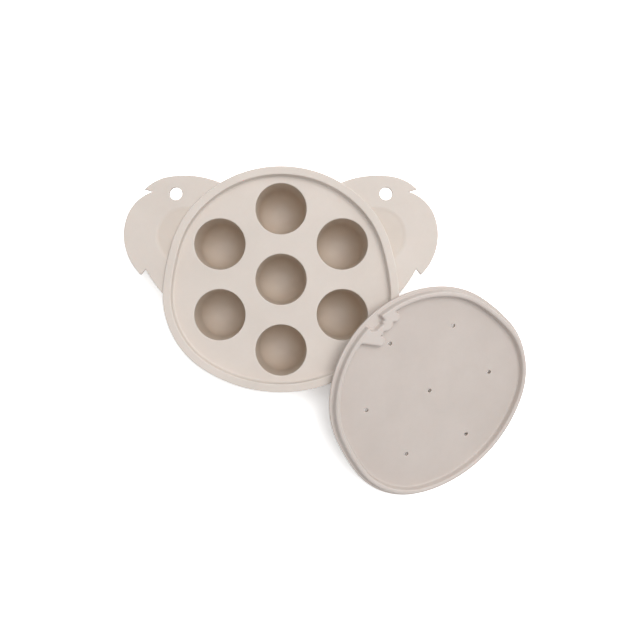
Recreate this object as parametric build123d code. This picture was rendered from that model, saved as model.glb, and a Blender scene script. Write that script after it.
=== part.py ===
"""Baby food freezer tray: a seven-pot silicone tray shaped like an animal's head, and its plug-in lid.

Frame: millimetres, +Z up, +Y towards the crown of the head. The origin is the centre of the foot
of the middle pot, on the surface that the tray stands on. The tray is one moulding: its ears are
solids of their own here, face to face with the rim. The lid is off the tray, underside up: its
outer face leans on the rim and its lowest edge stands on the same surface.
"""
from build123d import *
import os
from math import cos, radians, sin, sqrt, tan

# Head outline: the inner edge of the rim, as tangent arcs from the crown down to the chin
CROWN_RADIUS = 87.0
CROWN_TURN = 46.5           # degrees
SHOULDER_RADIUS = 73.5
SHOULDER_TURN = 26.2
SIDE_RADIUS = 165.0
SIDE_TURN = 12.0
CHEEK_RADIUS = 63.6
CHEEK_TURN = 62.8

# Tray shell
RIM_WIDTH = 6.6             # flat top of the rim, inner to outer edge
RIM_ROUND = 1.0
RIM_DRAFT = 3.0             # degrees, both walls of the rim
WELL_DEPTH = 6.0            # rim top down to the deck
WELL_FOOT_ROUND = 1.5
DECK_THICKNESS = 2.5

# Pots
POT_PITCH = 56.6            # middle pot to each outer pot
POT_MOUTH_RADIUS = 20.75
POT_MOUTH_ROUND = 0.8
POT_DEPTH = 42.0            # deck down to the pot's floor
POT_DRAFT = 2.5             # degrees
POT_BOWL_RADIUS = 16.0      # inside round between wall and floor
POT_WALL = 2.0
POT_ROOT_ROUND = 1.5        # outside round between pot and deck

# Ears: the right one is modelled, the left one is its mirror image
EAR_CENTRE = (82.5, 36.5)
EAR_RADIUS = 41.5
EAR_THICKNESS = 3.0
EAR_DROP = 2.5              # ear's top face below the rim's top
EAR_EDGE_ROUND = 0.8
FUR_STEP = 3.5              # depth of the notch between two locks of fur
FUR_ROUND = 0.6             # tips of the locks and roots of the notches, in plan
# each lock of fur, from root to tip: (distance beyond the ear radius, angle in degrees)
UPPER_LOCK = ((13.2, 135.5), (6.5, 108.0), (4.1, 81.0), (1.4, 53.8))
MIDDLE_LOCK = ((-FUR_STEP, 58.2), (-1.6, 34.5), (0.0, 6.0), (2.0, -49.2))
LOWER_LOCK = ((-FUR_STEP, -51.2), (2.1, -65.2), (10.0, -80.0))
INNER_EAR_CENTRE = (76.5, 34.5)
INNER_EAR_RADIUS = 22.0
INNER_EAR_DEPTH = 1.0
HOLE_CENTRE = (83.5, 68.0)
HOLE_RADIUS = 5.1

# Lid
LID_THICKNESS = 2.2
LID_LAP = 2.8               # how far the lid's flange laps over the rim
EDGE_ROUND = 0.7            # free edges of the lid and under the rim
PLUG_CLEARANCE = 0.3        # plug ridge to the well's wall, and to the deck
PLUG_WIDTH = 4.4
PLUG_ROUND = 1.0
PLUG_FOOT_ROUND = 0.5
VENT_RADIUS = 1.6
# each lock of the tuft as an arc: (along the crown, inwards from the plug ridge's inner wall)
TUFT_LOCKS = (
    ((19.0, 0.8), (17.2, 7.8), (12.0, 6.3)),
    ((12.0, 6.3), (6.6, 10.1), (1.8, 7.7)),
    ((1.8, 7.7), (-0.4, 8.7), (-2.4, 8.3)),
    ((-2.4, 8.3), (-3.0, 15.1), (-9.4, 12.7)),
)
TUFT_BACK = ((-19.2, -1.8), (0.0, -2.0), (20.5, -1.6))  # hidden inside the plug ridge
TUFT_ROUND = 0.8
# finger notch at the crown, as corners: (along the crown, inwards from the plug ridge's outer wall)
NOTCH_CORNERS = ((7.5, 5.0), (4.8, 5.0), (4.8, 6.7), (-2.8, 6.7), (-5.5, 4.0))
NOTCH_ROUND = 0.6

# How the lid lies
LID_OFFSET = (121.6, -91.0)  # lid centre in plan
LEAN_AZIMUTH = 146.8         # degrees, plan direction in which the lid rises
LID_TURN = 14.5              # degrees, crown of the lid clockwise from the steepest way up
SEAT_GAP = 0.3

HEAD_ARCS = (
    (CROWN_RADIUS, CROWN_TURN),
    (SHOULDER_RADIUS, SHOULDER_TURN),
    (SIDE_RADIUS, SIDE_TURN),
    (CHEEK_RADIUS, CHEEK_TURN),
)
DECK_TOP = POT_WALL + POT_DEPTH
DECK_BOTTOM = DECK_TOP - DECK_THICKNESS
RIM_TOP = DECK_TOP + WELL_DEPTH
RIM_TAPER = tan(radians(RIM_DRAFT))
EAR_TOP = RIM_TOP - EAR_DROP
PLUG_HEIGHT = WELL_DEPTH - PLUG_CLEARANCE


def heading_vector(turned):
    """Direction of travel along the right half of the head, by the angle turned since the crown."""
    return Vector(cos(radians(turned)), -sin(radians(turned)))


def crown_height():
    """Height of the crown above the middle pot's axis: the head is centred on the pots."""
    across, down, turned = 0.0, 0.0, 0.0
    for radius, turn in HEAD_ARCS:
        before, turned = turned, turned + turn
        across += radius * (sin(radians(turned)) - sin(radians(before)))
        down += radius * (cos(radians(before)) - cos(radians(turned)))
    chin_radius = across / sin(radians(turned))
    return (down + chin_radius * (1 + cos(radians(turned)))) / 2


def head_outline(grow=0.0, height=0.0):
    """Closed wire of the head outline, grown outwards and lifted to a height."""
    start, turned, right_half = Vector(0, crown_height() + grow), 0.0, []
    for radius, turn in HEAD_ARCS:
        right_half.append(JernArc(start, heading_vector(turned), radius + grow, -turn))
        start = right_half[-1] @ 1
        turned += turn
    # the chin arc is the one that meets the centre line square
    chin_radius = start.X / sin(radians(turned))
    right_half.append(JernArc(start, heading_vector(turned), chin_radius, turned - 180.0))
    edges = [edge for arc in right_half for edge in (arc.edge(), mirror(arc, about=Plane.YZ).edge())]
    return Pos(0, 0, height) * Wire(edges)


def head_slab(low, low_grow, high, high_grow):
    """Solid between two heights, its drafted wall running between two grown outlines."""
    sections = [head_outline(low_grow, low), head_outline(high_grow, high)]
    return Solid.make_loft(sections, ruled=True)


def edges_at(shape, height):
    """Edges that lie flat at a height."""
    return shape.edges().filter_by_position(Axis.Z, height - 0.01, height + 0.01)


def near(shapes, point):
    """The shape whose centre is nearest to a point."""
    return min(shapes, key=lambda shape: (shape.center() - point).length)


def pot_places():
    """The middle pot and the six round it, one of them towards the crown."""
    return [Pos(0, 0)] + PolarLocations(POT_PITCH, 6, start_angle=90).locations


def pot_body(skin, top):
    """Solid of a pot from its floor up to a height, its wall grown by the skin."""
    draft = radians(POT_DRAFT)
    bowl_radius = POT_BOWL_RADIUS + skin
    bowl_z = POT_WALL + POT_BOWL_RADIUS
    bowl_r = POT_MOUTH_RADIUS - (DECK_TOP - bowl_z) * tan(draft) - POT_BOWL_RADIUS / cos(draft)
    floor_z = bowl_z - bowl_radius
    wall_foot = (bowl_r + bowl_radius * cos(draft), bowl_z - bowl_radius * sin(draft))
    wall_top = (POT_MOUTH_RADIUS - (DECK_TOP - top) * tan(draft) + skin / cos(draft), top)
    section = make_face(
        [
            Line((0, floor_z), (bowl_r, floor_z)),
            TangentArc((bowl_r, floor_z), wall_foot, tangent=(1, 0)),
            Polyline(wall_foot, wall_top, (0, top), (0, floor_z)),
        ]
    )
    return revolve(Plane.XZ * section, Axis.Z)


def rim_block():
    """Drafted head-shaped block out of which the rim and the deck are cut."""
    drop = RIM_TOP - DECK_BOTTOM
    return head_slab(DECK_BOTTOM, RIM_WIDTH - drop * RIM_TAPER, RIM_TOP, RIM_WIDTH)


def tray_shell():
    """Rim and deck: the block with the lid's well sunk into it."""
    well = head_slab(DECK_TOP, -WELL_DEPTH * RIM_TAPER, RIM_TOP, 0.0)
    shell = rim_block() - well
    shell = fillet(edges_at(shell, DECK_BOTTOM), EDGE_ROUND)
    shell = fillet(edges_at(shell, DECK_TOP), WELL_FOOT_ROUND)
    return fillet(edges_at(shell, RIM_TOP), RIM_ROUND)


def ear_point(reach, angle):
    """Point of the right ear's outline, by its distance beyond the ear radius and its angle."""
    return Vector(*EAR_CENTRE) + Vector(EAR_RADIUS + reach, 0).rotate(Axis.Z, angle)


def fur_lock(lock):
    """Edges of one lock: an arc through its first three points and one tangent to it to its tip."""
    points = [ear_point(*place) for place in lock]
    back = ThreePointArc(*points[:3])
    return [back] + [TangentArc(back @ 1, tip, tangent=back % 1) for tip in points[3:]]


def ear():
    """Right ear: a flat flap off the rim, with two fur notches, an inner ear and a hanging hole."""
    upper, middle, lower = (fur_lock(lock) for lock in (UPPER_LOCK, MIDDLE_LOCK, LOWER_LOCK))
    steps = [
        Line(upper[-1] @ 1, middle[0] @ 0),
        Line(middle[-1] @ 1, lower[0] @ 0),
        Line(lower[-1] @ 1, upper[0] @ 0),
    ]
    bottom = EAR_TOP - EAR_THICKNESS
    face = make_face(upper + middle + lower + steps)
    roots_and_tips = [end for step in steps[:2] for end in (step @ 0, step @ 1)]
    face = fillet([near(face.vertices(), point) for point in roots_and_tips], FUR_ROUND)
    flap = Pos(0, 0, bottom) * extrude(face, EAR_THICKNESS)
    flap = fillet(edges_at(flap, bottom) + edges_at(flap, EAR_TOP), EAR_EDGE_ROUND)
    inner_ear = Pos(*INNER_EAR_CENTRE, EAR_TOP) * Cylinder(
        INNER_EAR_RADIUS, INNER_EAR_DEPTH, align=(Align.CENTER, Align.CENTER, Align.MAX)
    )
    hole = Pos(*HOLE_CENTRE, bottom) * Cylinder(HOLE_RADIUS, 4 * EAR_THICKNESS)
    return flap - inner_ear - hole - rim_block()


def pot_tray():
    """The tray without its ears: rim, deck and seven pots."""
    outer = pot_body(POT_WALL, DECK_BOTTOM + DECK_THICKNESS / 2)
    tray = tray_shell() + [place * outer for place in pot_places()]
    roots = [edge for edge in edges_at(tray, DECK_BOTTOM) if edge.geom_type == GeomType.CIRCLE]
    roots = [edge for edge in roots if edge.radius < POT_PITCH / 2]
    tray = fillet(roots, POT_ROOT_ROUND)
    inner = pot_body(0.0, DECK_TOP)
    tray = tray - [place * inner for place in pot_places()]
    mouths = [edge for edge in edges_at(tray, DECK_TOP) if abs(edge.radius - POT_MOUTH_RADIUS) < 0.01]
    return fillet(mouths, POT_MOUTH_ROUND)


def off_ridge(along, inwards):
    """Plan point along the crown, so far inwards from the curve of the plug ridge's inner wall."""
    inset = PLUG_CLEARANCE + PLUG_WIDTH
    radius = CROWN_RADIUS - inset
    drop = radius - sqrt(radius**2 - along**2)
    return along, crown_height() - inset - drop - inwards


def tuft():
    """Tuft of fur inside the plug ridge at the crown, as high as the ridge."""
    locks = [ThreePointArc(*(off_ridge(*spot) for spot in lock)) for lock in TUFT_LOCKS]
    back = Polyline(locks[-1] @ 1, *(off_ridge(*spot) for spot in TUFT_BACK), locks[0] @ 0)
    face = make_face(locks + [back])
    partings = [near(face.vertices(), lock @ 0) for lock in locks[1:]]
    return extrude(fillet(partings, TUFT_ROUND), PLUG_HEIGHT)


def finger_notch():
    """What the finger notch takes out of the plug ridge: open upwards and outwards."""
    wall = crown_height() - PLUG_CLEARANCE
    corners = [Vector(x, wall - inset) for x, inset in NOTCH_CORNERS]
    mouth = [Vector(corner.X, wall + PLUG_WIDTH) for corner in (corners[-1], corners[0])]
    face = make_face(Polyline(*corners, *mouth, close=True))
    face = fillet([near(face.vertices(), corner) for corner in corners], NOTCH_ROUND)
    return extrude(face, PLUG_HEIGHT, both=True)


def plug_ridge():
    """Ridge that plugs into the well, with the tuft inside it and the finger notch through it."""
    narrowing = PLUG_HEIGHT * RIM_TAPER
    outer_grow = -PLUG_CLEARANCE
    inner_grow = outer_grow - PLUG_WIDTH
    outer = head_slab(0.0, outer_grow, PLUG_HEIGHT, outer_grow - narrowing)
    inner = head_slab(0.0, inner_grow, PLUG_HEIGHT, inner_grow + narrowing)
    ridge = outer - inner + tuft() - finger_notch()
    return fillet(edges_at(ridge, PLUG_HEIGHT), PLUG_ROUND)


def lid_flat():
    """Lid with its underside up: floor and flange at zero height, plug ridge and tuft above them."""
    plate = head_slab(-LID_THICKNESS, LID_LAP, 0.0, LID_LAP)
    plate = fillet(edges_at(plate, -LID_THICKNESS) + edges_at(plate, 0.0), EDGE_ROUND)
    ridge = plug_ridge()
    lid = plate + ridge
    foot = [edge for edge in edges_at(lid, 0.0) if ridge.distance_to(edge @ 0.5) < 0.01]
    lid = fillet(foot, PLUG_FOOT_ROUND)
    vent = Cylinder(VENT_RADIUS, 4 * LID_THICKNESS)
    return lid - [place * vent for place in pot_places()]


def reach_of(outline, direction):
    """How far an outline reaches from the origin in a plan direction."""
    steps = 720
    return max((outline @ (step / steps)).dot(direction) for step in range(steps))


def lid_location():
    """Where the lid lies: leaning on the rim's outer edge, its lowest edge on the ground."""
    way_up = Vector(1, 0).rotate(Axis.Z, LEAN_AZIMUTH)
    level = Vector(1, 0).rotate(Axis.Z, LEAN_AZIMUTH - 90)
    # reaches of the rounds' centre lines: the rim's towards the lid, the lid's downhill
    rim_reach = reach_of(head_outline(RIM_WIDTH - RIM_ROUND), -way_up)
    downhill = Vector(0, -1).rotate(Axis.Z, LID_TURN)
    lid_reach = reach_of(head_outline(LID_LAP - EDGE_ROUND), downhill)
    offset = Vector(*LID_OFFSET)

    def height(lean):
        """Height of the lid's floor at its centre, with its lowest edge on the ground."""
        return lid_reach * sin(lean) + (LID_THICKNESS - EDGE_ROUND) * cos(lean) + EDGE_ROUND

    def clearance(lean):
        """Gap between the lid's outer face and the rim's rounded outer edge."""
        run = -rim_reach - offset.dot(way_up)
        rise = RIM_TOP - RIM_ROUND - height(lean)
        return run * sin(lean) - rise * cos(lean) - LID_THICKNESS - RIM_ROUND

    flat, steep = 0.0, radians(60)
    while steep - flat > 1e-9:
        lean = (flat + steep) / 2
        flat, steep = (lean, steep) if clearance(lean) < SEAT_GAP else (flat, lean)
    rise = way_up * cos(steep) + Vector(0, 0, sin(steep))
    normal = level.cross(rise)
    crown = rise * cos(radians(LID_TURN)) + level * sin(radians(LID_TURN))
    centre = offset + Vector(0, 0, height(steep))
    return Plane(centre, x_dir=crown.cross(normal), z_dir=normal).location


os.makedirs("parts", exist_ok=True)
right_ear = ear()
export_step(right_ear, "parts/right_ear.step")
export_step(mirror(right_ear, about=Plane.YZ), "parts/left_ear.step")
export_step(pot_tray(), "parts/pot_tray.step")
export_step(lid_location() * lid_flat(), "parts/vented_lid.step")
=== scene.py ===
"""Baby food freezer tray and its plug-in lid, dressed in moulded silicone.

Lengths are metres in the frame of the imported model. Plan points are complex numbers, x + yj, and a
loop is an anticlockwise array of them. A profile is complex as well: how far it stands out across
the loop, and its height as the imaginary part.
"""

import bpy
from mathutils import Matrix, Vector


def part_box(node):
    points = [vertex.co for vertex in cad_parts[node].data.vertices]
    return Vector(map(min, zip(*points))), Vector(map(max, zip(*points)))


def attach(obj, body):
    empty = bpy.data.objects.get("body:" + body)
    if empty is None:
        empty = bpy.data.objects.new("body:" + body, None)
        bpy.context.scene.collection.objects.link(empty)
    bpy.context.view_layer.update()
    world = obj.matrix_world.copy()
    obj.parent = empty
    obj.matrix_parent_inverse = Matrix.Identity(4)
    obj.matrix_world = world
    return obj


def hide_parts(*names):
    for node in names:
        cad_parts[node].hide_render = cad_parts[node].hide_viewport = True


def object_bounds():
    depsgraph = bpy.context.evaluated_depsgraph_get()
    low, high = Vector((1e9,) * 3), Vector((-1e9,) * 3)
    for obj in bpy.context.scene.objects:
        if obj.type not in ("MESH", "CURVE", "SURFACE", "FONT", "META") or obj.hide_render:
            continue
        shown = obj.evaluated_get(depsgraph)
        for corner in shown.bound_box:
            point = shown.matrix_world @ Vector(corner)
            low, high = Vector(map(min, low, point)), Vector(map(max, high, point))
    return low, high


bl_info = {
    "name": "Baby Food Freezer Tray",
    "version": (1, 0, 0),
    "blender": (4, 5, 0),
    "location": "3D View > Sidebar > Freezer Tray",
    "description": "Builds a seven-pot silicone freezer tray and its vented plug-in lid",
    "category": "Add Mesh",
}

from math import ceil, cos, inf, pi, radians, sin, sqrt, tan

import bmesh
import bpy
import numpy as np
from bpy.props import FloatProperty, FloatVectorProperty, IntProperty, PointerProperty
from mathutils import Matrix, Vector
from mathutils.geometry import delaunay_2d_cdt

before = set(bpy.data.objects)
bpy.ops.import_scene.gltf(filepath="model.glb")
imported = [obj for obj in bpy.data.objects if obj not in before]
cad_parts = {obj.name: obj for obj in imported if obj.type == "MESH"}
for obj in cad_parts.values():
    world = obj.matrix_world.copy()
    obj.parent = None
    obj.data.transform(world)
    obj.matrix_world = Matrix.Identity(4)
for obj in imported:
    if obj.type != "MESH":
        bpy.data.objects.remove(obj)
CAD_BOX = [list(corner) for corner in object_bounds()]
TRAY_LOW, TRAY_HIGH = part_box("pot_tray")
EAR_LOW, EAR_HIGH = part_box("right_ear")
LID_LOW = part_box("vented_lid")[0]

MM = 0.001

# numbers of pots, points and faces, and the steps between points
OUTLINE_STEP = radians(1.25)     # turn between two points of the head outline
FINE_SPACING = 0.3 * MM          # between two points of a softened outline
OUTER_POTS = 6                   # round the middle one
ROUND_STEPS = 6                  # faces across a small round
BOWL_STEPS = 20                  # faces down the round of a pot's bowl
POT_SEGMENTS = 96                # round a pot
HOLE_SEGMENTS = 48               # round a hanging hole
VENT_SEGMENTS = 32               # round a vent
INNER_EAR_POINTS = 241           # round the circle of an inner ear
SLOPE_POINTS = 13                # down the slope into an inner ear
HOLD = 0.25 * MM                 # strip that keeps a flat face flat beside a round

# tolerances
STILL = 0.01 * MM                # a loop that would grow by less stays as it is
FOLD_SHARE = 0.995               # a grown point less than this share of the growth away has folded
SEAM_GAP = 0.001 * MM            # points as near as this merge where a turned mesh closes
JOIN_GAP = 0.002 * MM            # points as near as this merge where the meshes of a piece meet
PLAN_TOLERANCE = 1e-8            # for filling a flat face

# painted light: 1 for a painted highlight on an edge, -1 for painted shade in a hollow
ROUND_HIGHLIGHT = np.sin(np.linspace(0.0, pi, ROUND_STEPS + 1))     # painted highlight across a round
NO_ROUND_HIGHLIGHT = np.zeros(ROUND_STEPS + 1)                       # no painted highlight across a round
FLANGE_AND_RIDGE_HIGHLIGHT = 1.4                     # stronger painted highlight on the lid's flange and ridge tops
UNDER_RIM = 0.5                  # share of the painted highlight that the rim's lower edge gets
LIP_SHARE = 0.06                 # share of a pot's straight wall above the full painted shade
POT_FLOOR_SHADE = -0.4                # painted shade at the bottom of a pot, lighter than on its wall
INNER_EAR_SHADE = -0.25           # painted shade at the bottom of an inner ear

# noise of the silicone: (features to a metre, detail, roughness)
CLOUDS = (22.0, 3.0, 0.5)
GRAIN = (1400.0, 2.0, 0.6)
PORES = (260.0, 4.0, 0.65)

# how much of each noise goes into the tone, the painted shade, the roughness and the relief
CLOUDS_IN_TONE = 2.2
PORES_IN_TONE = 0.5
CLOUDS_IN_SHADE = 0.6
CLOUDS_IN_ROUGHNESS = 0.10
GRAIN_IN_ROUGHNESS = 0.06
PORES_IN_RELIEF = 1.4
RELIEF_STRENGTH = 0.35
HIGHLIGHT_PALENESS = 0.8            # how far an edge goes towards its paler colour, a painted highlight
EDGE_POLISH = 0.08             # how much less rough an edge under the painted highlight is

# studio, with its lengths in metres
FLOOR_REACH = 4.0                # from the origin to each side
FLOOR_DROP = 0.3 * MM            # below the object's lowest point
WHITE = (1.0, 1.0, 1.0, 1.0)
FLOOR_SEEN = (2.0, 2.0, 2.0, 1.0)           # what the floor looks like beside the object
FLOOR_BOUNCE = (0.75, 0.75, 0.75, 1.0)      # what it is to the light that it throws back
GLOW_START = 0.35                # distance from the origin at which the floor starts to glow
GLOW_GAIN = 2.0                  # share of the glow that each metre beyond that adds
HIGH_SOFTBOX = ((0.58, 0.58, 2.03), 1.6)    # place from the object's middle, and width
LOW_SOFTBOX = ((1.2, 1.2, 1.42), 2.4)
SENSOR_WIDTH = 36.0              # in millimetres
FRAME_PIXELS = 640               # width of the frame that the lens shifts are counted in

# sockets of nodes by number
OBJECT_COORDINATES = 3           # out of Texture Coordinate
ATTRIBUTE_FACTOR = 2             # out of Attribute
VECTOR_LENGTH = 1                # out of Vector Math
MIX_FACTOR = 0                   # into a Mix of colours
FIRST_COLOUR = 6
SECOND_COLOUR = 7
MIXED_COLOUR = 2                 # out of a Mix of colours

# each lock of ear fur, from root to tip: (beyond the ear radius in millimetres, angle in degrees)
UPPER_LOCK = ((13.2, 135.5), (6.5, 108.0), (4.1, 81.0), (2.0, 53.2))
MIDDLE_LOCK = ((-3.1, 59.8), (-0.3, 36.5), (0.7, 16.0), (2.4, -48.9))
LOWER_LOCK = ((-3.5, -48.6), (2.1, -65.2), (10.0, -80.0))

# each lock of the lid's tuft, in millimetres:
# (along the crown, inwards from the ridge's inner wall)
TUFT_LOCKS = (
    ((19.0, 0.8), (17.2, 7.8), (12.0, 6.3)),
    ((12.0, 6.3), (6.6, 10.1), (1.8, 7.7)),
    ((1.8, 7.7), (-0.4, 8.7), (-2.4, 8.3)),
    ((-2.4, 8.3), (-3.0, 15.1), (-9.4, 12.7)),
)
TUFT_ENDS = (19.3, -18.0)        # along the crown

# corners of the finger notch, in millimetres:
# (along the crown, inwards from the ridge's outer wall)
NOTCH_CORNERS = ((7.5, 5.0), (4.8, 5.0), (4.8, 6.7), (-2.8, 6.7), (-5.5, 4.0))


def length(name, description, default):
    """A length property, with its default in millimetres."""
    return FloatProperty(name=name, description=description, default=default * MM, unit="LENGTH")


def angle(name, description, default):
    """An angle property, with its default in degrees."""
    return FloatProperty(
        name=name, description=description, default=radians(default), subtype="ANGLE"
    )


def position(name, description, default):
    """A point property in plan or in space, with its default in millimetres."""
    return FloatVectorProperty(
        name=name, description=description, size=len(default), unit="LENGTH",
        default=tuple(part * MM for part in default),
    )


def shade(name, description, default):
    """A colour property."""
    return FloatVectorProperty(
        name=name, description=description, size=3, subtype="COLOR", default=default,
        min=0.0, max=1.0,
    )


def fraction(name, description, default):
    """A property between none and all."""
    return FloatProperty(name=name, description=description, default=default, subtype="FACTOR")


def watts(name, description, default):
    """A lamp's power property."""
    return FloatProperty(name=name, description=description, default=default, unit="POWER")


class HeadSizes(bpy.types.PropertyGroup):
    """The head outline: the inner edge of the rim, as arcs from the crown to the chin."""

    crown_radius: length("Crown radius", "Radius of the arc over the crown", 87.0)
    crown_turn: angle("Crown turn", "Half the angle of the arc over the crown", 46.5)
    shoulder_radius: length("Shoulder radius", "Radius beside the ears' upper half", 73.5)
    shoulder_turn: angle("Shoulder turn", "Angle of the arc beside the ears' upper half", 26.2)
    side_radius: length("Side radius", "Radius of the long flat side", 165.0)
    side_turn: angle("Side turn", "Angle of the long flat side", 12.0)
    cheek_radius: length("Cheek radius", "Radius of the cheek", 63.6)
    cheek_turn: angle("Cheek turn", "Angle of the cheek", 62.8)


class TraySizes(bpy.types.PropertyGroup):
    """The tray without its ears: rim, well, deck and pots."""

    rim_width: length("Rim width", "Inner to outer edge of the rim's top", 6.6)
    rim_round: length("Rim round", "Round along both edges of the rim", 1.0)
    rim_draft: angle("Rim draft", "Slope of the rim's walls", 3.0)
    well_depth: length("Well depth", "Rim down to the deck", 6.0)
    well_foot_round: length("Well foot round", "Round between the rim and the deck", 1.5)
    deck_thickness: length("Deck thickness", "Thickness of the deck", 2.5)
    under_round: length("Under round", "Round along the rim's lower edge", 0.7)
    pot_pitch: length("Pot pitch", "Middle pot to each outer pot", 56.6)
    mouth_radius: length("Mouth radius", "Inside radius of a pot at the deck", 20.5)
    mouth_round: length("Mouth round", "Round at a pot's mouth", 0.6)
    pot_draft: angle("Pot draft", "Slope of a pot's wall", 2.5)
    bowl_radius: length("Bowl radius", "Inside round between a pot's wall and floor", 16.0)
    pot_wall: length("Pot wall", "Thickness of a pot", 2.0)
    root_round: length("Root round", "Outside round between a pot and the deck", 1.5)


class EarSizes(bpy.types.PropertyGroup):
    """The ears: the right one, which the left one mirrors."""

    centre: position("Ear centre", "Middle of the ear in plan", (82.5, 36.5))
    radius: length("Ear radius", "Radius that the locks of fur are measured from", 41.5)
    edge_round: length("Edge round", "Round along the ear's free edges", 0.8)
    fur_reach: length("Fur softness", "Reach over which the fur's corners are rounded", 0.6)
    root_depth: length("Root depth", "How far the ear runs into the rim", 6.2)
    inner_centre: position("Inner ear centre", "Middle of the inner ear in plan", (76.5, 34.5))
    inner_radius: length("Inner ear radius", "Radius of the inner ear", 22.0)
    inner_depth: length("Inner ear depth", "Depth of the inner ear", 0.45)
    inner_slope: length("Inner ear slope", "Width of the soft slope into the inner ear", 4.0)
    inner_root: length("Inner ear root", "How far the inner ear runs on under the rim", 2.2)
    hole_centre: position("Hole centre", "Middle of the hanging hole in plan", (83.5, 68.0))
    hole_radius: length("Hole radius", "Radius of the hanging hole", 5.1)
    hole_round: length("Hole round", "Round along the hanging hole's edges", 0.3)


class LidSizes(bpy.types.PropertyGroup):
    """The lid, with its underside up, and how it lies against the tray."""

    thickness: length("Lid thickness", "Thickness of the lid's plate", 2.2)
    lap: length("Lap", "How far the flange laps over the rim", 2.8)
    edge_round: length("Edge round", "Round along the flange's edges", 0.7)
    clearance: length("Clearance", "Plug ridge to the well's wall, and to the deck", 0.3)
    plug_width: length("Plug width", "Width of the plug ridge at its foot", 4.4)
    plug_round: length("Plug round", "Round along the top of the plug ridge", 1.5)
    plug_foot_round: length("Plug foot round", "Round at the foot of the plug ridge", 1.6)
    corner_reach: length("Corner softness", "Reach over which the ridge's corners are rounded", 1.3)
    vent_radius: length("Vent radius", "Radius of a vent", 1.6)
    vent_round: length("Vent round", "Round along a vent's edges", 0.5)
    lean: angle("Lean", "Tilt of the lid against the rim", 20.362)
    azimuth: angle("Azimuth", "Plan direction in which the lid rises", 146.8)
    turn: angle("Turn", "Crown of the lid clockwise from the steepest way up", 14.5)
    centre: position("Lid centre", "Middle of the lid in plan", (121.6, -91.0))


class SiliconeLook(bpy.types.PropertyGroup):
    """Colours and surface of the silicone, with its painted highlight and painted shade."""

    tray_colour: shade("Tray colour", "Colour of the tray", (0.70, 0.625, 0.565))
    lid_colour: shade("Lid colour", "Colour of the lid", (0.615, 0.545, 0.50))
    roughness: fraction("Roughness", "Roughness of the matte skin", 0.56)
    mottle: fraction("Mottle", "Depth of the cloudy change of tone", 0.035)
    # painted highlight: how far the edges go towards a paler colour
    edge_highlight: fraction("Edge highlight", "How far handled edges are paler", 0.09)
    # painted shade: what the colour is multiplied by in a hollow
    hollow_shade: shade(
        "Hollow shade", "What the colour is multiplied by in a hollow that food tints",
        (0.81, 0.74, 0.65),
    )
    grain_height: length("Grain height", "Height of the moulded grain", 0.05)


class StudioSetup(bpy.types.PropertyGroup):
    """Camera, lamps and floor."""

    camera_place: position(
        "Camera place", "Where the camera hangs, looking straight down", (15.2, -12.5, 524.0)
    )
    focal_length: FloatProperty(
        name="Focal length", description="Focal length in millimetres on a 36 mm sensor",
        default=33.75,
    )
    shift_right: IntProperty(
        name="Shift right", description="Lens axis left of the frame's middle, in pixels of 640",
        default=20,
    )
    shift_down: IntProperty(
        name="Shift down", description="Lens axis above the frame's middle, in pixels of 640",
        default=25,
    )
    high_power: watts("High power", "Power of the high softbox", 29.5)
    low_power: watts("Low power", "Power of the low softbox", 7.5)
    sky_strength: FloatProperty(
        name="Sky strength", description="Light from all round", default=0.45
    )


class Wire:
    """A node's output that adds Math nodes when it is used in Python arithmetic."""

    def __init__(self, graph, socket):
        self.graph = graph
        self.socket = socket

    def maths(self, operation, *values):
        """One Math node on this wire and other values."""
        sockets = dict(enumerate((self, *values)))
        return self.graph.add("ShaderNodeMath", {"operation": operation}, sockets)[0]

    def __add__(self, other):
        return self.maths("ADD", other)

    __radd__ = __add__

    def __sub__(self, other):
        return self.maths("SUBTRACT", other)

    def __rsub__(self, other):
        return (self * -1.0).maths("ADD", other)

    def __mul__(self, other):
        return self.maths("MULTIPLY", other)

    __rmul__ = __mul__

    def __truediv__(self, other):
        return self.maths("DIVIDE", other)


class Graph:
    """Adds nodes to a tree."""

    def __init__(self, tree):
        self.tree = tree

    def add(self, kind, settings=None, sockets=None):
        """The outputs of a new node, from its settings and its sockets' values or links."""
        node = self.tree.nodes.new(kind)
        for name, value in (settings or {}).items():
            setattr(node, name, value)
        for key, value in (sockets or {}).items():
            if isinstance(value, Wire):
                self.tree.links.new(value.socket, node.inputs[key])
            else:
                node.inputs[key].default_value = value
        return [Wire(self, output) for output in node.outputs]


def emptied(owner):
    """Graph on the emptied node tree of a material or a world."""
    owner.use_nodes = True
    owner.node_tree.nodes.clear()
    return Graph(owner.node_tree)


def circle(centre, radius, segments):
    """Loop of a circle."""
    return centre + radius * np.exp(2j * pi * np.arange(segments) / segments)


def sweep(centre, start, turn, steps):
    """Points from a start turned about a centre, both ends included."""
    return centre + (start - centre) * np.exp(1j * np.linspace(0.0, turn, steps + 1))


def quarter(centre, radius, start, stop, steps=ROUND_STEPS):
    """Arc of a profile about a centre, between two angles in degrees."""
    first = centre + radius * np.exp(1j * radians(start))
    return sweep(centre, first, radians(stop - start), steps)


def arc_through(first, middle, last):
    """Arc through three plan points."""
    near = middle - first
    far = last - first
    off = near * far * (near - far).conjugate()
    centre = first + off / (near.conjugate() * far - near * far.conjugate())
    half_turn = np.angle((middle - centre) / (first - centre))
    turn = half_turn + np.angle((last - centre) / (middle - centre))
    return sweep(centre, first, turn, ceil(abs(turn * (first - centre)) / FINE_SPACING))


def arc_onwards(before, start, end):
    """Arc from a start to an end that goes on in the direction from the point before."""
    side = 1j * (start - before) / abs(start - before)
    across = end - start
    centre = start + side * abs(across) ** 2 / (2 * (across * side.conjugate()).real)
    turn = np.angle((end - centre) / (start - centre))
    return sweep(centre, start, turn, ceil(abs(turn * (start - centre)) / FINE_SPACING))


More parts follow.
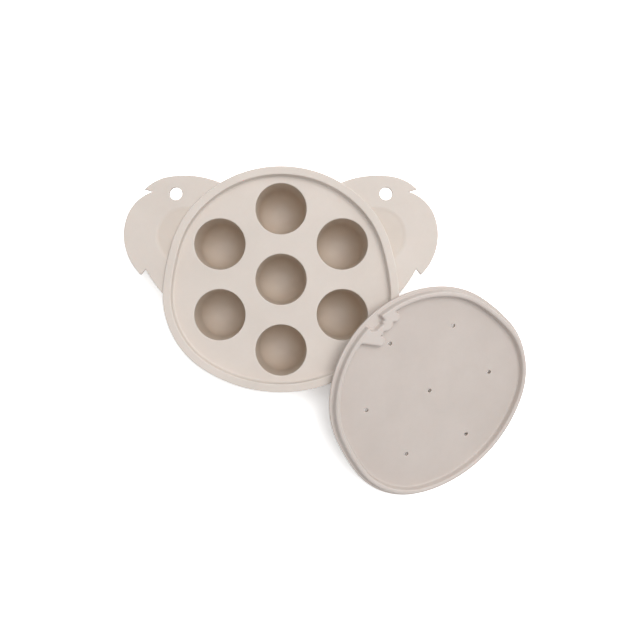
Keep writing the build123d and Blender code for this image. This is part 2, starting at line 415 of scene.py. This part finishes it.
def softened(corners, reach):
    """Closed loop, resampled evenly, its corners rounded over a reach."""
    closed = np.append(corners, corners[0])
    run = np.append(0.0, np.cumsum(abs(np.diff(closed))))
    at = np.linspace(0.0, run[-1], ceil(run[-1] / FINE_SPACING), endpoint=False)
    loop = np.interp(at, run, closed.real) + 1j * np.interp(at, run, closed.imag)
    width = 2 * round(reach / FINE_SPACING / 2) + 1
    # one running mean turns a corner into an arc, and a second one eases the arc in and out
    for _ in range(2):
        wrapped = np.concatenate((loop[-width:], loop, loop[:width]))
        loop = np.convolve(wrapped, np.full(width, 1.0 / width), "same")[width:-width]
    return loop


def grown(loop, distance):
    """Loop moved outwards by a distance, or inwards by a negative one; it never crosses itself."""
    if abs(distance) < STILL:
        return loop
    along = np.roll(loop, -1) - np.roll(loop, 1)
    moved = loop - 1j * along / abs(along) * distance
    side = np.roll(loop, -1) - loop
    share = ((moved[:, None] - loop) * side.conj()).real / abs(side) ** 2
    nearest = abs(moved[:, None] - loop - np.clip(share, 0.0, 1.0) * side).min(axis=1)
    folded = nearest < FOLD_SHARE * abs(distance)
    free = np.flatnonzero(~(folded | np.roll(folded, 1) | np.roll(folded, -1)))
    every = np.arange(len(loop))
    x = np.interp(every, free, moved.real[free], period=len(loop))
    return x + 1j * np.interp(every, free, moved.imag[free], period=len(loop))


def between(spots, edges):
    """Triangles that fill the region between closed loops of edges."""
    # output type 0 covers the whole convex hull, and what lies outside the region goes later
    found, _, triangles, origins, _, _ = delaunay_2d_cdt(spots, edges, [], 0, PLAN_TOLERANCE)
    if len(found) != len(spots):
        raise RuntimeError("the rings of a flat face cross each other")
    triangles = [[origins[corner][0] for corner in face] for face in triangles]
    fences = {frozenset(edge) for edge in edges}
    beside = {}
    for number, face in enumerate(triangles):
        for edge in zip(face, (*face[1:], face[0])):
            beside.setdefault(frozenset(edge), []).append(number)
    # inwards from the hull, each loop that is crossed turns empty into filled or back
    solid = {}
    waiting = [(owner[0], edge in fences) for edge, owner in beside.items() if len(owner) == 1]
    while waiting:
        number, filled = waiting.pop()
        if number in solid:
            continue
        solid[number] = filled
        face = triangles[number]
        for edge in map(frozenset, zip(face, (*face[1:], face[0]))):
            beyond = filled ^ (edge in fences)
            waiting += [(other, beyond) for other in beside[edge] if other not in solid]
    return [face for number, face in enumerate(triangles) if solid[number]]


def head_arcs():
    """Radius and turn of each arc between the crown and the chin."""
    head = bpy.context.scene.freezer_head
    return (
        (head.crown_radius, head.crown_turn),
        (head.shoulder_radius, head.shoulder_turn),
        (head.side_radius, head.side_turn),
        (head.cheek_radius, head.cheek_turn),
    )


def head_loop(grow=0.0):
    """Head outline, grown outwards and centred, from the crown round by the left."""
    start = 1j * grow
    turned = 0.0
    right = [np.array([start])]
    for radius, turn in head_arcs():
        centre = start - 1j * np.exp(-1j * turned) * (radius + grow)
        right.append(sweep(centre, start, -turn, round(turn / OUTLINE_STEP))[1:])
        start = right[-1][-1]
        turned += turn
    chin_centre = 1j * (start.imag + start.real / tan(pi - turned))
    right.append(sweep(chin_centre, start, turned - pi, round((pi - turned) / OUTLINE_STEP))[1:])
    right = np.concatenate(right)
    right = right - 1j * (right[0].imag + right[-1].imag) / 2
    return np.concatenate((-right.conj(), right[-2:0:-1]))


def head_part(grow, low=-inf, high=inf):
    """Right side of the head outline, or its stretch between two values of y, from the chin up."""
    loop = head_loop(grow)
    part = loop[(loop.real > 0) & (loop.imag > low) & (loop.imag < high)]
    return part[np.argsort(part.imag)]


def pot_places():
    """The middle pot and the ones round it, from the crown's anticlockwise."""
    pitch = bpy.context.scene.freezer_tray.pot_pitch
    bearings = [pi / 2 + step * 2 * pi / OUTER_POTS for step in range(OUTER_POTS)]
    return [0j, *(pitch * np.exp(1j * bearing) for bearing in bearings)]


class Skin:
    """Points and faces of a moulding, built up ring by ring."""

    def __init__(self):
        self.points = []
        self.faces = []
        self.painted_light = []

    def ring(self, loop, height, painted_light=0.0):
        """Add a loop at a height, with the same painted light all round; returns the numbers of its
        points.
        """
        first = len(self.points)
        self.points += [(point.real, point.imag, height) for point in loop]
        self.painted_light += [painted_light] * len(loop)
        return np.arange(first, first + len(loop))

    def wall(self, loop_at, profile, painted_light):
        """Rings along a profile, joined by quads; returns the first and the last ring."""
        rings = [self.ring(loop_at(at.real), at.imag, rub) for at, rub in zip(profile, painted_light)]
        for one, other in zip(rings, rings[1:]):
            for i in range(len(one)):
                self.faces.append((one[i - 1], one[i], other[i], other[i - 1]))
        return rings[0], rings[-1]

    def flat(self, *rings):
        """Flat face inside the first ring and outside the others."""
        numbers = np.concatenate(rings)
        spots = [Vector(self.points[number][:2]) for number in numbers]
        edges = []
        first = 0
        for ring in rings:
            edges += [(first + i, first + (i + 1) % len(ring)) for i in range(len(ring))]
            first += len(ring)
        self.faces += [tuple(numbers[corner] for corner in face) for face in between(spots, edges)]

    def mesh(self, name):
        """The moulding so far as a mesh."""
        made = bpy.data.meshes.new(name)
        made.from_pydata(self.points, [], self.faces)
        # the painted highlight and painted shade go with the mesh as a point attribute
        painted_light = made.attributes.new("painted_light", "FLOAT", "POINT")
        painted_light.data.foreach_set("value", self.painted_light)
        return made


def lathe_tree():
    """Geometry Nodes that turn a profile about each of seven places, and their named inputs."""
    tree = bpy.data.node_groups.new("Turned at seven places", "GeometryNodeTree")
    tree.interface.new_socket("Profile", in_out="INPUT", socket_type="NodeSocketGeometry")
    inputs = {}
    for name, kind in (
        ("Segments", "NodeSocketInt"),
        ("Profile Points", "NodeSocketInt"),
        ("Pitch", "NodeSocketFloat"),
        ("Material", "NodeSocketMaterial"),
    ):
        inputs[name] = tree.interface.new_socket(name, in_out="INPUT", socket_type=kind).identifier
    tree.interface.new_socket("Geometry", in_out="OUTPUT", socket_type="NodeSocketGeometry")
    graph = Graph(tree)
    profile, segments, rows, pitch, material, _ = graph.add("NodeGroupInput")

    # a grid rolled up: its columns go round the axis and its rows down the profile
    grid = graph.add(
        "GeometryNodeMeshGrid", None, {"Vertices X": segments + 1, "Vertices Y": rows}
    )[0]
    index = graph.add("GeometryNodeInputIndex")[0]
    column = (index / rows).maths("FLOOR")
    row = index - column * rows
    spot = graph.add("GeometryNodeInputPosition")[0]
    sampled = graph.add(
        "GeometryNodeSampleIndex",
        {"data_type": "FLOAT_VECTOR"},
        {"Geometry": profile, "Value": spot, "Index": row},
    )[0]
    across, _, height = graph.add("ShaderNodeSeparateXYZ", None, {0: sampled})
    bearing = column / segments * (2 * pi)
    turned = graph.add(
        "ShaderNodeCombineXYZ",
        None,
        {0: across * bearing.maths("COSINE"), 1: across * bearing.maths("SINE"), 2: height},
    )[0]
    rolled = graph.add("GeometryNodeSetPosition", None, {"Geometry": grid, "Position": turned})[0]
    # the painted highlight and painted shade go round with the profile
    named = graph.add(
        "GeometryNodeInputNamedAttribute", {"data_type": "FLOAT"}, {"Name": "painted_light"}
    )[0]
    painted_mark = graph.add(
        "GeometryNodeSampleIndex",
        {"data_type": "FLOAT"},
        {"Geometry": profile, "Value": named, "Index": row},
    )[0]
    stored = graph.add(
        "GeometryNodeStoreNamedAttribute",
        {"data_type": "FLOAT", "domain": "POINT"},
        {"Geometry": rolled, "Name": "painted_light", "Value": painted_mark},
    )[0]
    sewn = graph.add(
        "GeometryNodeMergeByDistance", None, {"Geometry": stored, "Distance": SEAM_GAP}
    )[0]

    # one place in the middle and six round it, the first of them towards the crown
    hexagon = graph.add(
        "GeometryNodeMeshCircle", None, {"Vertices": OUTER_POTS, "Radius": pitch}
    )[0]
    upright = graph.add(
        "GeometryNodeTransform", None, {"Geometry": hexagon, "Rotation": (0.0, 0.0, pi / 2)}
    )[0]
    middle = graph.add("GeometryNodeMeshLine", None, {"Count": 1})[0]
    places = graph.add("GeometryNodeJoinGeometry")[0]
    joining = places.socket.node.inputs[0]
    tree.links.new(upright.socket, joining)
    tree.links.new(middle.socket, joining)
    copies = graph.add(
        "GeometryNodeInstanceOnPoints", None, {"Points": places, "Instance": sewn}
    )[0]
    real = graph.add("GeometryNodeRealizeInstances", None, {"Geometry": copies})[0]
    coated = graph.add(
        "GeometryNodeSetMaterial", None, {"Geometry": real, "Material": material}
    )[0]
    graph.add("NodeGroupOutput", None, {0: coated})
    return tree, inputs


def turned_at_places(name, profile, painted_light, segments, material):
    """Mesh of a profile turned about each of the seven places."""
    tree, inputs = lathe_tree()
    line = bpy.data.meshes.new(name)
    edges = [(i, i + 1) for i in range(len(profile) - 1)]
    line.from_pydata([(at.real, 0.0, at.imag) for at in profile], edges, [])
    line.attributes.new("painted_light", "FLOAT", "POINT").data.foreach_set("value", painted_light)
    helper = bpy.data.objects.new(name, line)
    bpy.context.scene.collection.objects.link(helper)
    turning = helper.modifiers.new("Turned", "NODES")
    turning.node_group = tree
    turning[inputs["Segments"]] = segments
    turning[inputs["Profile Points"]] = len(profile)
    turning[inputs["Pitch"]] = bpy.context.scene.freezer_tray.pot_pitch
    turning[inputs["Material"]] = material
    bpy.context.view_layer.update()
    evaluated = helper.evaluated_get(bpy.context.evaluated_depsgraph_get())
    made = bpy.data.meshes.new_from_object(evaluated)
    bpy.data.objects.remove(helper)
    bpy.data.meshes.remove(line)
    bpy.data.node_groups.remove(tree)
    return made


def moulding(name, meshes, material, body, node, matrix=None):
    """One closed piece out of meshes that share their edges, standing for a CAD node."""
    joined = bmesh.new()
    for mesh in meshes:
        joined.from_mesh(mesh)
        bpy.data.meshes.remove(mesh)
    bmesh.ops.remove_doubles(joined, verts=joined.verts, dist=JOIN_GAP)
    bmesh.ops.recalc_face_normals(joined, faces=joined.faces)
    if any(not edge.is_manifold for edge in joined.edges):
        raise RuntimeError(f"{name} isn't closed")
    for face in joined.faces:
        face.smooth = True
        face.material_index = 0
    if matrix is not None:
        joined.transform(matrix)
    mesh = bpy.data.meshes.new(name)
    joined.to_mesh(mesh)
    joined.free()
    mesh.materials.append(material)
    piece = bpy.data.objects.new(name, mesh)
    bpy.context.scene.collection.objects.link(piece)
    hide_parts(node)
    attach(piece, body)


def silicone(name, colour):
    """Matte moulded silicone: cloudy tone, fine grain, a painted highlight on edges and painted
    shade in hollows.
    """
    look = bpy.context.scene.freezer_look
    material = bpy.data.materials.new(name)
    graph = emptied(material)
    place = graph.add("ShaderNodeTexCoord")[OBJECT_COORDINATES]

    def noise(scale, detail, roughness):
        """Noise around 0, with features a scale-th of a metre wide."""
        sockets = {"Vector": place, "Scale": scale, "Detail": detail, "Roughness": roughness}
        return graph.add("ShaderNodeTexNoise", None, sockets)[0] - 0.5

    def blend(factor, one, other, way="MIX"):
        """Colour between two others, or one multiplied by the other."""
        settings = {"data_type": "RGBA", "blend_type": way}
        sockets = {MIX_FACTOR: factor, FIRST_COLOUR: one, SECOND_COLOUR: other}
        return graph.add("ShaderNodeMix", settings, sockets)[MIXED_COLOUR]

    cloudy = noise(*CLOUDS)
    grain = noise(*GRAIN)
    pores = noise(*PORES)
    # the point attribute paints a highlight where it is above 0 and shade where it is below
    painted_light = graph.add("ShaderNodeAttribute", {"attribute_name": "painted_light"})[ATTRIBUTE_FACTOR]
    deep = tuple(part * (1.0 - look.mottle) ** 2 for part in colour)
    pale = tuple(part + (1.0 - part) * look.mottle for part in colour)
    highlit = tuple(part + (1.0 - part) * look.edge_highlight for part in colour)
    paleness = cloudy * CLOUDS_IN_TONE + pores * PORES_IN_TONE + 0.5
    tone = blend(paleness.maths("MINIMUM", 1.0), (*deep, 1.0), (*pale, 1.0))
    painted_mark = painted_light.maths("MAXIMUM", 0.0)
    shaded = (painted_light * -1.0).maths("MAXIMUM", 0.0)
    # painted highlight: edges go towards a paler colour
    tone = blend(painted_mark * (HIGHLIGHT_PALENESS + pores), tone, (*highlit, 1.0))
    # painted shade: hollows are multiplied by a darker, browner colour
    painted_shade = shaded * (1.0 + cloudy * CLOUDS_IN_SHADE)
    tone = blend(painted_shade, tone, (*look.hollow_shade, 1.0), "MULTIPLY")
    uneven = cloudy * CLOUDS_IN_ROUGHNESS + grain * GRAIN_IN_ROUGHNESS
    rough = uneven - painted_mark * EDGE_POLISH + look.roughness
    relief = graph.add(
        "ShaderNodeBump",
        None,
        {
            "Strength": RELIEF_STRENGTH,
            "Distance": look.grain_height,
            "Height": grain + pores * PORES_IN_RELIEF,
        },
    )[0]
    surface = graph.add(
        "ShaderNodeBsdfPrincipled",
        None,
        {
            "Base Color": tone,
            "Roughness": rough,
            "IOR": 1.41,
            "Subsurface Weight": 0.12,
            "Subsurface Radius": (1.0, 0.6, 0.45),
            "Subsurface Scale": 0.003,
            "Sheen Weight": 0.08,
            "Sheen Roughness": 0.5,
            "Normal": relief,
        },
    )[0]
    graph.add("ShaderNodeOutputMaterial", None, {"Surface": surface})
    return material


def pot_skins(material):
    """Insides and outsides of the pots, and their radii at the top and underside of the deck."""
    tray = bpy.context.scene.freezer_tray
    deck, under = deck_heights()
    draft = tan(tray.pot_draft)
    bowl_z = TRAY_LOW.z + tray.pot_wall + tray.bowl_radius
    bowl_r = tray.mouth_radius - (deck - bowl_z) * draft - tray.bowl_radius / cos(tray.pot_draft)
    bowl = complex(bowl_r, bowl_z)
    droop = -np.degrees(tray.pot_draft)

    mouth = complex(tray.mouth_radius + tray.mouth_round, deck - tray.mouth_round)
    lip = quarter(mouth, tray.mouth_round, 90, 180)
    hollow = quarter(bowl, tray.bowl_radius, droop, -90, BOWL_STEPS)
    inner = np.concatenate(
        (
            [mouth + complex(HOLD, tray.mouth_round)],
            lip,
            [lip[-1] + (hollow[0] - lip[-1]) * LIP_SHARE],
            hollow,
            [1j * (bowl_z - tray.bowl_radius)],
        )
    )
    wall_r = tray.mouth_radius + tray.pot_wall - (deck - under + tray.root_round) * draft
    root = complex(wall_r + tray.root_round, under - tray.root_round)
    outer = np.concatenate(
        (
            [root + complex(HOLD, tray.root_round)],
            quarter(root, tray.root_round, 90, 180),
            quarter(bowl, tray.bowl_radius + tray.pot_wall, droop, -90, BOWL_STEPS),
            [1j * TRAY_LOW.z],
        )
    )
    # painted highlight on the mouth's round, painted shade down the wall and the bowl
    painted_light = [0.0, *ROUND_HIGHLIGHT, -1.0, *np.linspace(-1.0, POT_FLOOR_SHADE, BOWL_STEPS + 2)]
    plain = [0.0] * len(outer)
    return [
        turned_at_places("Pot insides", inner, painted_light, POT_SEGMENTS, material),
        turned_at_places("Pot outsides", outer, plain, POT_SEGMENTS, material),
    ], inner[0].real, outer[0].real


def deck_heights():
    """Top and underside of the deck."""
    tray = bpy.context.scene.freezer_tray
    top = TRAY_HIGH.z - tray.well_depth
    return top, top - tray.deck_thickness


def rim_profile():
    """Section of the rim from under the deck, round the outside and down into the well."""
    tray = bpy.context.scene.freezer_tray
    deck, under = deck_heights()
    top = TRAY_HIGH.z
    taper = tan(tray.rim_draft)
    skirt = tray.rim_width - (top - under) * taper
    foot = complex(skirt - tray.under_round, under + tray.under_round)
    outer = complex(tray.rim_width - tray.rim_round, top - tray.rim_round)
    inner = complex(tray.rim_round, top - tray.rim_round)
    well = complex(-tray.well_depth * taper - tray.well_foot_round, deck + tray.well_foot_round)
    flat = [outer + complex(-HOLD, tray.rim_round), inner + complex(HOLD, tray.rim_round)]
    # painted highlight on the rim's rounds, none at the foot of the well
    stretches = (
        ([foot - complex(HOLD, tray.under_round)], [0.0]),
        (quarter(foot, tray.under_round, -90, 0), UNDER_RIM * ROUND_HIGHLIGHT),
        (quarter(outer, tray.rim_round, 0, 90), ROUND_HIGHLIGHT),
        (flat, [0.0, 0.0]),
        (quarter(inner, tray.rim_round, 90, 180), ROUND_HIGHLIGHT),
        (quarter(well, tray.well_foot_round, 0, -90), NO_ROUND_HIGHLIGHT),
        ([well - complex(HOLD, tray.well_foot_round)], [0.0]),
    )
    return [np.concatenate(part) for part in zip(*stretches)]


def fur_lock(lock):
    """Plan points of one lock of ear fur, from root to tip."""
    ear = bpy.context.scene.freezer_ear
    spots = [
        complex(*ear.centre) + (ear.radius + reach * MM) * np.exp(1j * radians(bearing))
        for reach, bearing in lock
    ]
    back = arc_through(*spots[:3])
    if len(spots) == 3:
        return back
    return np.concatenate((back, arc_onwards(back[-2], back[-1], spots[3])[1:]))


def ear_loop():
    """Outline of the right ear, its root hidden in the rim."""
    ear = bpy.context.scene.freezer_ear
    tray = bpy.context.scene.freezer_tray
    locks = [fur_lock(lock) for lock in (UPPER_LOCK, MIDDLE_LOCK, LOWER_LOCK)]
    low, high = locks[-1][-1].imag, locks[0][0].imag
    root = head_part(tray.rim_width - ear.root_depth, low, high)
    return softened(np.concatenate((*locks, root))[::-1], ear.fur_reach)


def inner_ear_loop():
    """Outline of the right inner ear: a circle that the rim cuts off."""
    ear = bpy.context.scene.freezer_ear
    tray = bpy.context.scene.freezer_tray
    hidden = tray.rim_width - ear.inner_root
    bearings = np.linspace(-pi, pi, INNER_EAR_POINTS)
    whole = complex(*ear.inner_centre) + ear.inner_radius * np.exp(1j * bearings)
    side = head_part(hidden)
    free = whole[whole.real > np.interp(whole.imag, side.imag, side.real)]
    root = head_part(hidden, free[0].imag, free[-1].imag)
    return softened(np.concatenate((free, root[::-1])), ear.fur_reach)


def rounded_edge(face, wall, radius, up):
    """Profile over an edge from a wall onto a flat face, with its painted highlight."""
    way = 1 if up else -1
    centre = complex(wall - radius, face - way * radius)
    arc = quarter(centre, radius, 0, way * 90)
    profile = np.append(arc, centre + complex(-HOLD, way * radius))
    return profile, np.append(ROUND_HIGHLIGHT, 0.0)


def plate_edge(low, high, wall, radius):
    """Profile round a plate's edge, from its underside to its top, with its painted highlight."""
    under, highlight_under = rounded_edge(low, wall, radius, False)
    over, highlight_over = rounded_edge(high, wall, radius, True)
    profile = np.concatenate((under[::-1], over))
    return profile, np.concatenate((highlight_under[::-1], highlight_over))


def ear_mesh():
    """Right ear: a flat flap with a furry edge, an inner ear and a hanging hole."""
    ear = bpy.context.scene.freezer_ear
    low, high = EAR_LOW.z, EAR_HIGH.z
    skin = Skin()
    outline = ear_loop()
    profile, painted_light = plate_edge(low, high, 0.0, ear.edge_round)
    below, above = skin.wall(lambda out: grown(outline, out), profile, painted_light)
    hole = circle(complex(*ear.hole_centre), ear.hole_radius, HOLE_SEGMENTS)
    profile, painted_light = plate_edge(low, high, 0.0, ear.hole_round)
    hole_below, hole_above = skin.wall(lambda out: grown(hole, -out), profile, painted_light)
    dish = inner_ear_loop()
    across = np.linspace(1.0, -1.0, SLOPE_POINTS)
    sunk = (1.0 - np.sin(across * pi / 2)) / 2
    sinking = across * ear.inner_slope / 2 + 1j * (high - sunk * ear.inner_depth)
    # painted shade deepens down the slope into the inner ear
    brim, floor = skin.wall(lambda out: grown(dish, out), sinking, INNER_EAR_SHADE * sunk)
    skin.flat(above, hole_above, brim)
    skin.flat(floor)
    skin.flat(below, hole_below)
    return skin.mesh("Ear")


def led_round(loop, ends, corners):
    """Loop that is led through corners over the crown, between a right and a left end."""
    crown = loop[loop.imag > 0]
    crown = crown[np.argsort(crown.real)]
    right, left = (end * MM + 1j * np.interp(end * MM, crown.real, crown.imag) for end in ends)
    kept = loop[(loop.imag < 0) | (loop.real > right.real) | (loop.real < left.real)]
    reach = bpy.context.scene.freezer_lid.corner_reach
    return softened(np.concatenate(([right], corners, [left], kept)), reach)


def plug_loops():
    """Feet of the plug ridge: the outer wall with its finger notch, the inner one with its tuft."""
    lid = bpy.context.scene.freezer_lid
    head = bpy.context.scene.freezer_head
    outer = head_loop(-lid.clearance)
    ends = (NOTCH_CORNERS[0][0], NOTCH_CORNERS[-1][0])
    corners = [
        complex(along * MM, outer[0].imag - inwards * MM) for along, inwards in NOTCH_CORNERS
    ]
    outer = led_round(outer, ends, corners)
    inner = head_loop(-lid.clearance - lid.plug_width)
    radius = head.crown_radius - lid.clearance - lid.plug_width

    def off_ridge(along, inwards):
        """Plan point so far inwards from the curve of the ridge's inner wall."""
        drop = radius - sqrt(radius**2 - (along * MM) ** 2)
        return complex(along * MM, inner[0].imag - drop - inwards * MM)

    locks = [arc_through(*(off_ridge(*spot) for spot in lock)) for lock in TUFT_LOCKS]
    return outer, led_round(inner, TUFT_ENDS, np.concatenate(locks))


def lid_matrix(points):
    """Matrix that leans the lid, with its lowest point where the CAD lid has it."""
    lid = bpy.context.scene.freezer_lid
    way_up = Vector((cos(lid.azimuth), sin(lid.azimuth), 0.0))
    level = Vector((sin(lid.azimuth), -cos(lid.azimuth), 0.0))
    rise = way_up * cos(lid.lean) + Vector((0.0, 0.0, sin(lid.lean)))
    normal = level.cross(rise)
    crown = rise * cos(lid.turn) + level * sin(lid.turn)
    turning = Matrix((crown.cross(normal), crown, normal)).transposed()
    lowest = min((turning @ Vector(point)).z for point in points)
    return Matrix.Translation((*lid.centre, LID_LOW.z - lowest)) @ turning.to_4x4()


def lid_skin():
    """Lid with its underside up, without its vents, and the rings that surround them."""
    lid = bpy.context.scene.freezer_lid
    tray = bpy.context.scene.freezer_tray
    height = tray.well_depth - lid.clearance
    taper = tan(tray.rim_draft)
    skin = Skin()
    profile, painted_light = plate_edge(-lid.thickness, 0.0, lid.lap, lid.edge_round)
    # the flange's flat top takes the stronger painted highlight
    painted_light[-1] = FLANGE_AND_RIDGE_HIGHLIGHT
    below, flange = skin.wall(head_loop, profile, painted_light)

    foot = complex(lid.plug_foot_round, lid.plug_foot_round)
    top = complex(-height * taper - lid.plug_round, height - lid.plug_round)
    ridge = np.concatenate(
        (
            [complex(foot.real + HOLD, 0.0)],
            quarter(foot, lid.plug_foot_round, -90, -180),
            quarter(top, lid.plug_round, 0, 90),
            [top + complex(-HOLD, lid.plug_round)],
        )
    )
    # painted highlight on the ridge's top round, stronger on its flat top
    painted_light = np.concatenate(([0.0], NO_ROUND_HIGHLIGHT, ROUND_HIGHLIGHT, [FLANGE_AND_RIDGE_HIGHLIGHT]))
    outer, inner = plug_loops()
    inner_foot, inner_top = skin.wall(lambda out: grown(inner, -out), ridge, painted_light)
    # the stronger painted highlight also covers the flange beside the ridge's outer foot
    painted_light[0] = FLANGE_AND_RIDGE_HIGHLIGHT
    outer_foot, outer_top = skin.wall(lambda out: grown(outer, out), ridge, painted_light)
    skin.flat(flange, outer_foot)
    skin.flat(outer_top, inner_top)
    return skin, below, inner_foot


def vent_profile():
    """Section of a vent from the lid's underside to its outer face, with its painted light."""
    lid = bpy.context.scene.freezer_lid
    section, painted_light = plate_edge(-lid.thickness, 0.0, -lid.vent_radius, lid.vent_round)
    middle = len(painted_light) // 2
    # painted shade down the middle of the vent's bore
    painted_light[middle - 1:middle + 1] = -1.0
    return -section[::-1].conj(), painted_light[::-1].copy()


class FREEZER_OT_pots(bpy.types.Operator):
    """Build the tray: rim, well, deck and the seven pots"""

    bl_idname = "freezer.pots"
    bl_label = "Pot Tray"

    def execute(self, context):
        material = silicone("Tray silicone", context.scene.freezer_look.tray_colour)
        pots, mouth, root = pot_skins(material)
        deck, under = deck_heights()
        skin = Skin()
        profile, painted_light = rim_profile()
        outside, well = skin.wall(head_loop, profile, painted_light)
        mouths = [skin.ring(circle(at, mouth, POT_SEGMENTS), deck) for at in pot_places()]
        roots = [skin.ring(circle(at, root, POT_SEGMENTS), under) for at in pot_places()]
        skin.flat(well, *mouths)
        skin.flat(outside, *roots)
        meshes = [skin.mesh("Rim"), *pots]
        moulding("pot_tray_moulding", meshes, material, "tray", "pot_tray")
        return {"FINISHED"}


class FREEZER_OT_ears(bpy.types.Operator):
    """Build both ears with their hanging holes"""

    bl_idname = "freezer.ears"
    bl_label = "Ears"

    def execute(self, context):
        material = bpy.data.materials["Tray silicone"]
        mirrored = Matrix.Scale(-1.0, 4, (1.0, 0.0, 0.0))
        for side, matrix in (("right", Matrix.Identity(4)), ("left", mirrored)):
            mesh = ear_mesh()
            mesh.transform(matrix)
            moulding(f"{side}_ear_flap", [mesh], material, "tray", f"{side}_ear")
        return {"FINISHED"}


class FREEZER_OT_lid(bpy.types.Operator):
    """Build the lid, underside up, leaning on the rim"""

    bl_idname = "freezer.lid"
    bl_label = "Vented Lid"

    def execute(self, context):
        lid = context.scene.freezer_lid
        material = silicone("Lid silicone", context.scene.freezer_look.lid_colour)
        skin, below, floor = lid_skin()
        profile, painted_light = vent_profile()
        vents = turned_at_places("Vents", profile, painted_light, VENT_SEGMENTS, material)
        reach = profile[0].real
        circles = [circle(at, reach, VENT_SEGMENTS) for at in pot_places()]
        skin.flat(floor, *(skin.ring(loop, 0.0) for loop in circles))
        skin.flat(below, *(skin.ring(loop, -lid.thickness) for loop in circles))
        lean = lid_matrix(skin.points)
        meshes = [skin.mesh("Lid"), vents]
        moulding("vented_lid_moulding", meshes, material, "lid", "vented_lid", lean)
        return {"FINISHED"}


def shown_rays(graph):
    """1 where the camera looks, straight or by way of a reflection or glass, and 0 elsewhere."""
    camera, _, _, glossy, _, _, transmitted, *_ = graph.add("ShaderNodeLightPath")
    return (camera + glossy + transmitted).maths("MINIMUM", 1.0)


def white_floor():
    """Floor that the camera sees as white, with the object's shadow on it."""
    material = bpy.data.materials.new("Studio floor")
    graph = emptied(material)
    near = graph.add("ShaderNodeBsdfDiffuse", None, {"Color": FLOOR_SEEN})[0]
    white = graph.add("ShaderNodeEmission", None, {"Color": WHITE, "Strength": 1.0})[0]
    place = graph.add("ShaderNodeTexCoord")[OBJECT_COORDINATES]
    measured = graph.add("ShaderNodeVectorMath", {"operation": "LENGTH"}, {0: place})
    beyond = measured[VECTOR_LENGTH] - GLOW_START
    far = (beyond * GLOW_GAIN).maths("MAXIMUM", 0.0).maths("MINIMUM", 1.0)
    seen = graph.add("ShaderNodeMixShader", None, {0: far, 1: near, 2: white})[0]
    bounced = graph.add("ShaderNodeBsdfDiffuse", None, {"Color": FLOOR_BOUNCE})[0]
    shown = shown_rays(graph)
    mixed = graph.add("ShaderNodeMixShader", None, {0: shown, 1: bounced, 2: seen})[0]
    graph.add("ShaderNodeOutputMaterial", None, {"Surface": mixed})
    return material


def softbox(name, offset, width, power):
    """Square lamp, set off from the object's middle, which it looks at."""
    middle = (Vector(CAD_BOX[0]) + Vector(CAD_BOX[1])) / 2
    place = middle + Vector(offset)
    lamp = bpy.data.lights.new(name, "AREA")
    lamp.shape = "SQUARE"
    lamp.size = width
    lamp.energy = power
    holder = bpy.data.objects.new(name, lamp)
    holder.location = place
    holder.rotation_euler = (middle - place).to_track_quat("-Z", "Y").to_euler()
    bpy.context.scene.collection.objects.link(holder)


class FREEZER_OT_stage(bpy.types.Operator):
    """Set up the floor, the sky, the softboxes and the camera"""

    bl_idname = "freezer.stage"
    bl_label = "Studio"

    def execute(self, context):
        studio = context.scene.freezer_studio
        ground = bpy.data.meshes.new("floor")
        level = CAD_BOX[0][2] - FLOOR_DROP
        signs = ((-1, -1), (1, -1), (1, 1), (-1, 1))
        corners = [(x * FLOOR_REACH, y * FLOOR_REACH, level) for x, y in signs]
        ground.from_pydata(corners, [], [(0, 1, 2, 3)])
        ground.materials.append(white_floor())
        floor = bpy.data.objects.new("floor", ground)
        context.scene.collection.objects.link(floor)

        world = bpy.data.worlds.new("Studio sky")
        context.scene.world = world
        graph = emptied(world)
        strength = shown_rays(graph) * (1.0 - studio.sky_strength) + studio.sky_strength
        sky = graph.add("ShaderNodeBackground", None, {0: WHITE, 1: strength})[0]
        graph.add("ShaderNodeOutputWorld", None, {0: sky})

        softbox("High softbox", *HIGH_SOFTBOX, studio.high_power)
        softbox("Low softbox", *LOW_SOFTBOX, studio.low_power)

        lens = bpy.data.cameras.new("Camera")
        lens.lens = studio.focal_length
        lens.sensor_width = SENSOR_WIDTH
        lens.shift_x = studio.shift_right / FRAME_PIXELS
        lens.shift_y = -studio.shift_down / FRAME_PIXELS
        camera = bpy.data.objects.new("Camera", lens)
        camera.location = studio.camera_place
        context.scene.collection.objects.link(camera)
        context.scene.camera = camera
        context.scene.view_settings.view_transform = "Standard"
        return {"FINISHED"}


class FREEZER_PT_panel(bpy.types.Panel):
    """Lists the operators in the order in which they run"""

    bl_label = "Freezer Tray"
    bl_idname = "FREEZER_PT_panel"
    bl_space_type = "VIEW_3D"
    bl_region_type = "UI"
    bl_category = "Freezer Tray"

    def draw(self, context):
        for operator in OPERATORS:
            self.layout.operator(operator.bl_idname)


GROUPS = {
    "freezer_head": HeadSizes,
    "freezer_tray": TraySizes,
    "freezer_ear": EarSizes,
    "freezer_lid": LidSizes,
    "freezer_look": SiliconeLook,
    "freezer_studio": StudioSetup,
}
OPERATORS = (FREEZER_OT_pots, FREEZER_OT_ears, FREEZER_OT_lid, FREEZER_OT_stage)


def register():
    for name, group in GROUPS.items():
        bpy.utils.register_class(group)
        setattr(bpy.types.Scene, name, PointerProperty(type=group))
    for operator in (*OPERATORS, FREEZER_PT_panel):
        bpy.utils.register_class(operator)


def unregister():
    for operator in (FREEZER_PT_panel, *reversed(OPERATORS)):
        bpy.utils.unregister_class(operator)
    for name, group in reversed(GROUPS.items()):
        delattr(bpy.types.Scene, name)
        bpy.utils.unregister_class(group)


def main():
    """Build everything."""
    register()
    bpy.ops.freezer.pots()
    bpy.ops.freezer.ears()
    bpy.ops.freezer.lid()
    bpy.ops.freezer.stage()


if __name__ == "__main__":
    main()
